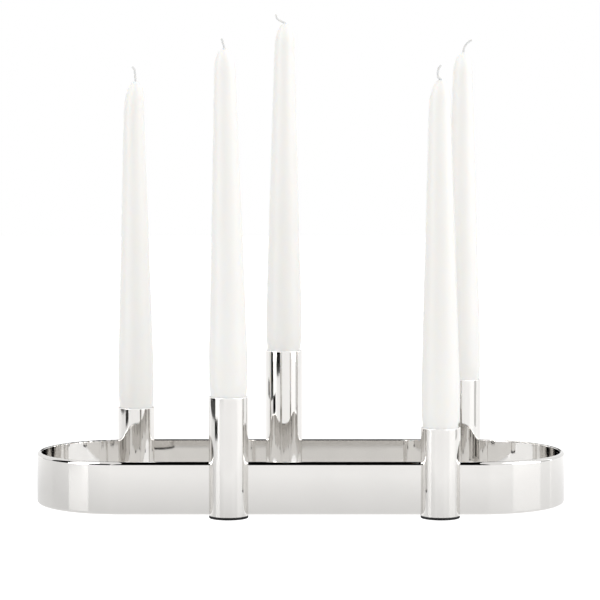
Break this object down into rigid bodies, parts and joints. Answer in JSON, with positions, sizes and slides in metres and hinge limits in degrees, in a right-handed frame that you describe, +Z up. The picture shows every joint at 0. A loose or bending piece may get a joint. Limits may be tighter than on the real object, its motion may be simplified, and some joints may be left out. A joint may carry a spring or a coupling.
{
  "type": "tabletop candelabra",
  "caption": "Long racetrack-shaped band of mirror-polished strip on edge, with round cups astride its wall at several heights, each holding a tall white taper candle.",
  "frame": {"origin": "on the floor under the middle of the band, at the height of the feet's soles", "axes": "+X along the band, +Y from the front run to the back run, +Z up"},
  "size_m": [0.346, 0.142, 0.3277],
  "materials": {
    "polished_steel": "mirror polished",
    "seat_steel": "plain turned",
    "foot_rubber": "matt",
    "candle_wax": "smooth paraffin wax",
    "wick_cotton": "braided cotton"
  },
  "bodies": {
    "holder": {"band": "polished_steel", "tube_front_left": "polished_steel", "seat_front_left": "seat_steel", "foot_front_left": "foot_rubber", "tube_front_right": "polished_steel", "seat_front_right": "seat_steel", "foot_front_right": "foot_rubber", "tube_back_left": "polished_steel", "seat_back_left": "seat_steel", "foot_back_left": "foot_rubber", "tube_back_centre": "polished_steel", "seat_back_centre": "seat_steel", "foot_back_centre": "foot_rubber", "tube_back_right": "polished_steel", "seat_back_right": "seat_steel", "foot_back_right": "foot_rubber"},
    "candle_front_left": {"candle_front_left": "candle_wax", "wick_front_left": "wick_cotton"},
    "candle_front_right": {"candle_front_right": "candle_wax", "wick_front_right": "wick_cotton"},
    "candle_back_left": {"candle_back_left": "candle_wax", "wick_back_left": "wick_cotton"},
    "candle_back_centre": {"candle_back_centre": "candle_wax", "wick_back_centre": "wick_cotton"},
    "candle_back_right": {"candle_back_right": "candle_wax", "wick_back_right": "wick_cotton"}
  },
  "joints": [
    {"name": "lift_candle_front_left", "type": "slide", "parent": "holder", "child": "candle_front_left", "axis": [0, 0, 1], "range_m": [0, 0.03]},
    {"name": "lift_candle_front_right", "type": "slide", "parent": "holder", "child": "candle_front_right", "axis": [0, 0, 1], "range_m": [0, 0.03]},
    {"name": "lift_candle_back_left", "type": "slide", "parent": "holder", "child": "candle_back_left", "axis": [0, 0, 1], "range_m": [0, 0.03]},
    {"name": "lift_candle_back_centre", "type": "slide", "parent": "holder", "child": "candle_back_centre", "axis": [0, 0, 1], "range_m": [0, 0.03]},
    {"name": "lift_candle_back_right", "type": "slide", "parent": "holder", "child": "candle_back_right", "axis": [0, 0, 1], "range_m": [0, 0.03]}
  ]
}
